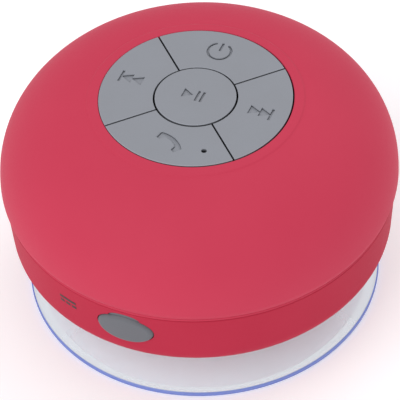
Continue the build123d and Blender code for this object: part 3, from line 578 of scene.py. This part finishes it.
def sector_key(angle, symbol, centre, sizes, hole=None):
    """Quarter-ring key on a grid of radius and angle, packed round its symbol and rounded edges, with a
    wall down from its border, a flat underside, its stem and two guide pins."""
    edge, heading = sizes.key_edge / MM, math.radians(angle)
    inner_r = GROOVE_R + KEY_GAP / 2

    def side_share(point):
        """Where a point lies between the key's straight sides, from -1 to 1."""
        aside = (math.atan2(point[1], point[0]) - heading + math.pi) % (2 * math.pi) - math.pi
        return aside / (math.pi / 4 - math.asin((KEY_GAP / 2 + edge) / math.hypot(*point)))

    steps = edge * (1 - np.cos(np.radians(np.linspace(0, 90, 7))))[:-1]
    symbol_r = math.hypot(*centre)
    middle_r = packed(inner_r + edge, KEY_R - edge, 150, [(symbol_r - 3.4, symbol_r + 3.4, 6)])
    r = np.concatenate([inner_r + steps, middle_r, KEY_R - steps[::-1]])[:, None]
    closer = [(side_share(centre) - 0.31, side_share(centre) + 0.31, 6)]
    if hole:
        closer.append((side_share(hole) - 0.065, side_share(hole) + 0.065, 12))
    share = packed(-1, 1, 200, closer)[None, :]
    inside = (math.pi / 4 - np.arcsin((KEY_GAP / 2 + edge) / r)) * share
    rim = math.pi / 4 - np.arcsin((KEY_GAP / 2 + steps[None, :]) / r)
    turn = np.concatenate([-rim, inside, rim[:, ::-1]], axis=1)
    r = r + 0 * turn
    distance = np.minimum.reduce([
        r - inner_r, KEY_R - r, r * np.sin(math.pi / 4 - np.abs(turn)) - KEY_GAP / 2])
    x, y = r * np.cos(turn + heading), r * np.sin(turn + heading)
    z = key_height(x, y, np.maximum(distance, 0), symbol, centre, KEY_TOP_Z, sizes, hole)
    points, faces = skin(np.stack([x, y, z], axis=-1), wrap_columns=False)
    index = np.arange(x.size).reshape(x.shape)
    border = np.concatenate([index[:, 0], index[-1, 1:], index[-2::-1, -1], index[0, -2:0:-1]])
    foot = points[border]
    foot[:, 2] = KEY_TOP_Z - KEY_T
    low = len(points) + np.arange(len(border))
    faces += np.stack([border, low, np.roll(low, -1), np.roll(border, -1)], axis=-1).tolist()
    faces.append(low[::-1].tolist())
    pegs = [peg(reach * math.cos(heading + aside), reach * math.sin(heading + aside), radius,
                KEY_LOW[2], KEY_TOP_Z - KEY_T + 0.3)
            for reach, aside, radius in (KEY_PEG, *KEY_PINS)]
    return join((np.concatenate([points, foot]), faces), *pegs)


def centre_key(symbol, centre, sizes):
    """Round key on rings packed over its symbol and its rounded edge, with wall, underside and pegs."""
    edge, top_z, outer_r = sizes.key_edge / MM, CENTRE_HIGH[2], CENTRE_HIGH[0]
    steps = edge * (1 - np.cos(np.radians(np.linspace(0, 90, 7))))[:-1]
    r = np.concatenate([packed(0.05, outer_r - edge, 90, [(0, 3.6, 6)]), outer_r - steps[::-1]])[:, None]
    turn = np.linspace(0, 2 * np.pi, 400, endpoint=False)[None, :]
    x, y = r * np.cos(turn), r * np.sin(turn)
    z = key_height(x, y, outer_r - r + 0 * turn, symbol, centre, top_z, sizes)
    low_z = KEY_TOP_Z - KEY_T
    foot = np.stack([x[-1:], y[-1:], 0 * x[-1:] + low_z], axis=-1)
    grid = np.concatenate([np.stack([x, y, z], axis=-1), foot])
    pegs = [peg(place, 0, radius, KEY_LOW[2], low_z + 0.3)
            for place, radius in ((0, 1.2), (-5.5, 0.85), (5.5, 0.85))]
    return join(skin(grid, (0, 0, z[0].mean()), (0, 0, low_z)), *pegs)


class SPEAKER_OT_keys(SpeakerOperator, bpy.types.Operator):
    """Four quarter-ring keys and the round one between them, with sunk symbols"""
    bl_idname = "speaker.keys"
    bl_label = "Keys"

    def execute(self, context):
        silicone = key_silicone("pressed_silicone", self.colours.keys, "B3B6BF", KEY_TOP_Z)
        raised = key_silicone("pressed_silicone_centre", self.colours.keys, "B3B6BF", CENTRE_HIGH[2])
        mic_r, mic_angle = MIC_PLACE
        mic = (mic_r * math.cos(math.radians(mic_angle)), mic_r * math.sin(math.radians(mic_angle)))
        for name, angle, symbol, centre, hole in (
                ("power", 90, power_symbol, (-0.5, 14.75), None),
                ("next", 0, next_symbol, (14.75, 0.42), None),
                ("previous", 180, previous_symbol, (-15.1, 0.6), None),
                ("call", 270, call_symbol, (0.32, -13.8), mic)):
            add_piece(f"{name}_key_cap", sector_key(angle, symbol, centre, self.sizes, hole), silicone,
                      f"{name}_key", [f"key_{name}"])
        add_piece("play_pause_key_cap", centre_key(play_symbol, (-0.65, 0.3), self.sizes), raised,
                  "play_pause_key", ["key_play_pause"])
        return {"FINISHED"}


# ------------------------------------------------------------------ port plug

def ellipse_reach(turn, half_w, half_h, centre_h=0.0):
    """How far a ray at an angle from the middle goes to leave an ellipse, or 0 where it misses it."""
    c, s = np.cos(turn) / half_w, np.sin(turn) / half_h
    a, b, k = c * c + s * s, s * centre_h / half_h, (centre_h / half_h) ** 2 - 1
    inside = b * b - a * k
    return np.where(inside > 0, (b + np.sqrt(np.maximum(inside, 0))) / a, 0)


def plug_shell(edge):
    """Oval plug: rings about its middle from the face out to the outline, back to the seat and in to
    the boss. The face follows the band's curve; the finger lip lies lower behind the oval."""
    turn = np.linspace(0, 2 * np.pi, 180, endpoint=False)[None, :]
    oval = ellipse_reach(turn, PLUG_HALF_W, PLUG_HALF_H)
    lip = ellipse_reach(turn, PLUG_LIP_HALF_W, PLUG_LIP_HALF_H, PLUG_HALF_H - 0.5)
    outline = np.maximum(oval, lip)
    share = np.concatenate([np.linspace(0.04, 0.7, 12)[:-1], np.linspace(0.7, 1, 34)])[:, None]
    reach = share * outline
    x, z = reach * np.cos(turn), reach * np.sin(turn)
    oval_y = np.sqrt(PLUG_FACE_R**2 - x**2) - edge_drop(np.maximum(oval - reach, 0) * 0.9, edge)
    lip_y = np.sqrt((PLUG_FACE_R - PLUG_LIP_BACK) ** 2 - x**2)
    lip_y = lip_y - edge_drop(np.maximum(outline - reach, 0), PLUG_LIP_ROUND)
    y = -np.where(reach <= oval + 1e-6, oval_y, lip_y)
    rings = [np.stack([x, y, z], axis=-1)]
    boss = ellipse_reach(turn, 4.9, 2.2)
    for radius, depth in ((outline, PLUG_SEAT_Y), (boss, PLUG_SEAT_Y), (boss, PLUG_BOSS_Y + 0.2),
                          (boss * 0.96, PLUG_BOSS_Y)):
        rings.append(np.stack([radius * np.cos(turn), 0 * turn - depth, radius * np.sin(turn)], axis=-1))
    grid = np.concatenate(rings)
    grid[..., 2] += PORT_Z
    return skin(grid, (0, -PLUG_FACE_R, PORT_Z), (0, -PLUG_BOSS_Y, PORT_Z))


class SPEAKER_OT_plug(SpeakerOperator, bpy.types.Operator):
    """Oval rubber plug over the charging port"""
    bl_idname = "speaker.plug"
    bl_label = "Port plug"

    def execute(self, context):
        # Silicone pressed in a blasted mould, like the keys, a little glossier from handling; its colour is
        # set darker than the keys' as painted shade on the plug below the dome.
        silicone = grained("handled_silicone_painted_shade", self.colours.plug, "606268", 0.5, 0.3, 0.004, 5.0)
        add_piece("charging_plug_cap", plug_shell(self.sizes.plug_edge / MM), silicone, "charging_plug",
                  ["port_plug"])
        return {"FINISHED"}


# ------------------------------------------------------------------ suction cup

def cup_section():
    """Section of the cup from the stem's top, down the neck, out over the dish to the rim, and back under."""
    rim_r, lip_r, dish_z = CUP_HIGH[0], 36.0, 7.0
    upper = arc_through((8.5, 9.8), (25.0, 6.4), (rim_r - 0.35, 1.15), 60)
    return np.concatenate([
        [(0, 19.2), (3.6, 19.2), (4.1, 18.7), (4.1, 18.0), (3.3, 18.0), (3.3, 17.1), (4.1, 17.1),
         (4.1, 12.5)],
        arc((6.1, 12.1), 0.4, 90, 0, 5), arc((7.4, 11.2), 0.9, 180, 225, 4), upper,
        arc((rim_r - 0.4, 0.75), 0.4, 75, 0, 8), line((rim_r, 0.7), (rim_r, 0.35), 3),
        arc((rim_r - 0.35, 0.35), 0.35, 0, -90, 6)[1:], [(lip_r + 0.2, 0.0)],
        arc_through((lip_r, 0.05), (20.0, 4.6), (0.0, dish_z), 60)[:-1], [(0.0, dish_z)]])


class SPEAKER_OT_cup(SpeakerOperator, bpy.types.Operator):
    """Clear suction cup with its stem"""
    bl_idname = "speaker.cup"
    bl_label = "Suction cup"

    def execute(self, context):
        vinyl = clear_vinyl(self.colours.film, self.colours.rim, 38.42, 38.62)
        add_piece("cup_dish", revolve(cup_section(), 256), vinyl, "cup", ["suction_cup"])
        return {"FINISHED"}


# ------------------------------------------------------------------ rating mark

def band_patch(turn_low, turn_high, z_low, z_high):
    """Thin raised patch on the band: r follows the band's slope, from turn_low to turn_high in degrees."""
    turn = np.radians(np.linspace(turn_low, turn_high, 12))[:, None]
    z = np.array([z_low, z_high])[None, :]
    slope = (BAND_HIGH[0] - BAND_LOW[0]) / (BAND_HIGH[1] - BAND_LOW[1])
    shells = []
    for lift in (0.03, -0.1):
        r = BAND_LOW[0] + (z - BAND_LOW[1]) * slope + lift
        shells.append(np.stack([r * np.cos(turn), r * np.sin(turn), z + 0 * turn], axis=-1))
    outer, inner = shells
    grid = np.stack([outer[:, 0], outer[:, 1], inner[:, 1], inner[:, 0]], axis=1)
    points, faces = skin(grid)
    last = len(points) - 4
    return points, faces + [[3, 2, 1, 0], [last, last + 1, last + 2, last + 3]]


class SPEAKER_OT_mark(SpeakerOperator, bpy.types.Operator):
    """Plain direct-current mark, a line over three dashes, printed beside the plug"""
    bl_idname = "speaker.mark"
    bl_label = "Port mark"

    def execute(self, context):
        # Pad-printed epoxy ink: thin, black and satin.
        ink = grained("pad_printed_ink", "100A0B", "0A0607", 0.45, 0.2, 0.003)
        patches = [band_patch(-112.6, -106.4, 23.5, 24.15)]
        patches += [band_patch(start, start + 1.6, 22.2, 22.85) for start in (-112.6, -110.3, -108.0)]
        add_piece("direct_current_mark", join(*patches), ink, "housing", ())
        return {"FINISHED"}


# ------------------------------------------------------------------ CAD nodes that keep their shape

class SPEAKER_OT_housing(SpeakerOperator, bpy.types.Operator):
    """Finish of the base, and of what shows through its openings"""
    bl_idname = "speaker.housing"
    bl_label = "Housing finish"

    def execute(self, context):
        # Moulded plastic sprayed with the dome's lacquer, its colour set darker than the dome's as painted
        # shade on the band below the dome.
        dress(grained("lacquered_base_painted_shade", self.colours.base, "B32840", 0.62, 0.4, 0.004, 20.0,
                      **{"Specular IOR Level": 0.1}), "base_housing")
        # Water-repelling polyester mesh; its 0.1 mm threads are drawn at 0.35 mm so that they show.
        dress(woven("polyester_mesh", "2B2B2E", "0A0A0B", 0.6, 0.35, 0.05), "grille_cloth")
        # Zinc-plated steel pressings and screws, with the fine lines of rolling or turning.
        dress(lined("zinc_plated_steel", "B9BABC", "9D9EA1", 0.32, 0.25, 0.004, "X", wobble=2.0,
                    Metallic=1.0),
              "housing_screws", "cup_retainer", "board_screws", "key_board_screws", "speaker_screws")
        return {"FINISHED"}


class SPEAKER_OT_inside(SpeakerOperator, bpy.types.Operator):
    """Finishes of the boards, battery, driver and wiring"""
    bl_idname = "speaker.inside"
    bl_label = "Inside finish"

    def execute(self, context):
        # Moulded black plastic with a fine spark-eroded grain.
        dress(grained("moulded_black_plastic", "1D1D1F", "161618", 0.5, 0.25, 0.01), "upper_shell",
              "keypad_plate", "speaker_basket", "charging_tongue", "switch_plunger_play_pause",
              "switch_plunger_power", "switch_plunger_next", "switch_plunger_previous", "switch_plunger_call")
        dress(solder_mask(), "key_board", "main_board", "speaker_terminals")
        # Tinned steel cans, drawn bright.
        dress(lined("tinned_steel", "C9C8C4", "B3B2AE", 0.22, 0.4, 0.002, "Y", wobble=3.0, Metallic=1.0),
              "switch_bodies", "microphone", "radio_module", "charging_port")
        # Turned mild steel, passivated.
        dress(lined("turned_steel", "A4A6A8", "86888B", 0.3, 0.3, 0.004, "Z", rings=True, Metallic=1.0),
              "speaker_top_plate", "speaker_yoke")
        # Pressed and sintered ferrite: near black, faintly glittering grains.
        dress(cellular("sintered_ferrite", "26272A", "151517", 0.55, 0.4, 0.01), "speaker_magnet")
        # Enamelled copper wire: 0.12 mm turns drawn at 0.25 mm so that they show.
        dress(lined("enamelled_copper", "B4662F", "5E2D12", 0.3, 0.25, 0.04, "Z", Metallic=1.0), "voice_coil")
        # Pressed paper pulp, dyed black, with short fibres.
        dress(cellular("pressed_pulp", "1C1C1F", "0E0E10", 0.8, 0.6, 0.03), "cone", "dust_cap")
        # Moulded nitrile rubber, dull black.
        dress(grained("moulded_nitrile", "17171A", "111113", 0.6, 0.3, 0.008), "surround", "mic_boot")
        # Cotton cloth stiffened with phenolic resin: yellow brown, 0.4 mm threads.
        dress(woven("resin_cloth", "B08038", "5E3F17", 0.7, 0.4, 0.06), "spider")
        # Aluminium-laminated pouch, slightly creased.
        dress(grained("laminated_pouch", "BDBDBC", "A2A2A1", 0.3, 3.0, 0.08, 6.0, Metallic=1.0), "battery")
        # Closed-cell foam, black, 0.5 mm cells.
        dress(cellular("closed_cell_foam", "242426", "0D0D0E", 0.9, 0.5, 0.06), "battery_foam",
              "speaker_gasket")
        # Extruded vinyl insulation.
        dress(grained("vinyl_insulation", "A01818", "8C1414", 0.35, 0.4, 0.004), "battery_leads",
              "speaker_leads")
        # Moulded nylon, ivory.
        dress(grained("moulded_nylon", "DDD6BE", "D3CBB0", 0.4, 0.3, 0.006), "battery_connector",
              "speaker_connector", "ribbon_connectors")
        # Polyester film over flat conductors at 0.5 mm.
        dress(lined("laminated_conductors", "E6E6E4", "B9BCC0", 0.2, 0.5, 0.01, "X"), "board_ribbon")
        # Epoxy-moulded packages.
        dress(grained("moulded_epoxy", "18181A", "121214", 0.4, 0.15, 0.006), "board_chips")
        return {"FINISHED"}


# ------------------------------------------------------------------ stage

def add_light(name, place, look_at, power, width, colour=(1.0, 1.0, 1.0)):
    """Square soft box at a place, aimed at a point, in metres."""
    data = bpy.data.lights.new(name, "AREA")
    data.energy, data.size, data.color = power, width, colour
    light = bpy.data.objects.new(name, data)
    light.location = place
    light.rotation_euler = (Vector(look_at) - Vector(place)).to_track_quat("-Z", "Y").to_euler()
    bpy.context.scene.collection.objects.link(light)


class SPEAKER_OT_stage(SpeakerOperator, bpy.types.Operator):
    """Pale floor, soft light and camera"""
    bl_idname = "speaker.stage"
    bl_label = "Stage"

    def execute(self, context):
        scene = context.scene
        scene.view_settings.view_transform = "Standard"
        azimuth, elevation, roll = math.radians(24.5), math.radians(45.44), math.radians(-3.12)
        target, reach = Vector((0, 0, 0.027)), 0.65
        back = Vector((math.sin(azimuth) * math.cos(elevation), -math.cos(azimuth) * math.cos(elevation),
                       math.sin(elevation)))
        data = bpy.data.cameras.new("camera")
        data.sensor_width = 36.0
        data.lens = 269.7
        data.shift_y = -0.0519
        data.clip_end = 10.0
        camera = bpy.data.objects.new("camera", data)
        camera.matrix_world = (Matrix.Translation(target + back * reach)
                               @ (-back).to_track_quat("-Z", "Y").to_matrix().to_4x4()
                               @ Matrix.Rotation(roll, 4, "Z"))
        scene.collection.objects.link(camera)
        scene.camera = camera

        floor_mesh = bpy.data.meshes.new("floor")
        side = 3.0
        floor_mesh.from_pydata([(-side, -side, 0), (side, -side, 0), (side, side, 0), (-side, side, 0)], [],
                               [(0, 1, 2, 3)])
        # Matt paper on a light table: it glows faintly, which keeps it pale in the speaker's shade.
        floor_mesh.materials.append(grained("lit_paper", self.colours.floor, "EFEFF2", 0.8, 2.0, 0.002, 300.0,
                                            **{"Emission Color": (1, 1, 1, 1), "Emission Strength": 0.24}))
        floor = bpy.data.objects.new("floor", floor_mesh)
        scene.collection.objects.link(floor)

        world = bpy.data.worlds.new("studio")
        world.use_nodes = True
        world.node_tree.nodes["Background"].inputs["Color"].default_value = (1, 1, 1, 1)
        world.node_tree.nodes["Background"].inputs["Strength"].default_value = 0.74
        scene.world = world
        right = Vector((math.cos(azimuth), math.sin(azimuth), 0))
        away = Vector((-math.sin(azimuth), math.cos(azimuth), 0))
        up = Vector((0, 0, 1))
        slope = math.sqrt(0.5)
        aim = Vector((0, 0, 0.03))
        # Two soft boxes 45 degrees up, one in front to the left and a weaker one behind to the right.
        for name, side, power in (("front_left_box", -1, 2.05), ("back_right_box", 1, 1.15)):
            toward = (side * slope * (right + away)) * slope + up * slope
            add_light(name, 0.8 * toward, aim, power, 0.6)
        return {"FINISHED"}


# ------------------------------------------------------------------ panel and registration

OPERATORS = (SPEAKER_OT_stage, SPEAKER_OT_dome, SPEAKER_OT_keys, SPEAKER_OT_plug, SPEAKER_OT_cup,
             SPEAKER_OT_mark, SPEAKER_OT_housing, SPEAKER_OT_inside)


class SPEAKER_PT_panel(bpy.types.Panel):
    """Sizes, colours and building steps of the speaker"""
    bl_idname = "SPEAKER_PT_panel"
    bl_label = "Shower Speaker"
    bl_space_type = "VIEW_3D"
    bl_region_type = "UI"
    bl_category = "Speaker"

    def draw(self, context):
        for group in (context.scene.speaker_sizes, context.scene.speaker_colours):
            for name in group.__annotations__:
                self.layout.prop(group, name)
        for operator in OPERATORS:
            self.layout.operator(operator.bl_idname)


CLASSES = (SpeakerSizes, SpeakerColours, *OPERATORS, SPEAKER_PT_panel)


def register():
    for item in CLASSES:
        bpy.utils.register_class(item)
    bpy.types.Scene.speaker_sizes = bpy.props.PointerProperty(type=SpeakerSizes)
    bpy.types.Scene.speaker_colours = bpy.props.PointerProperty(type=SpeakerColours)


def unregister():
    del bpy.types.Scene.speaker_sizes, bpy.types.Scene.speaker_colours
    for item in reversed(CLASSES):
        bpy.utils.unregister_class(item)


def main():
    """Build everything in order."""
    register()
    for operator in OPERATORS:
        space, name = operator.bl_idname.split(".")
        getattr(getattr(bpy.ops, space), name)()


if __name__ == "__main__":
    main()
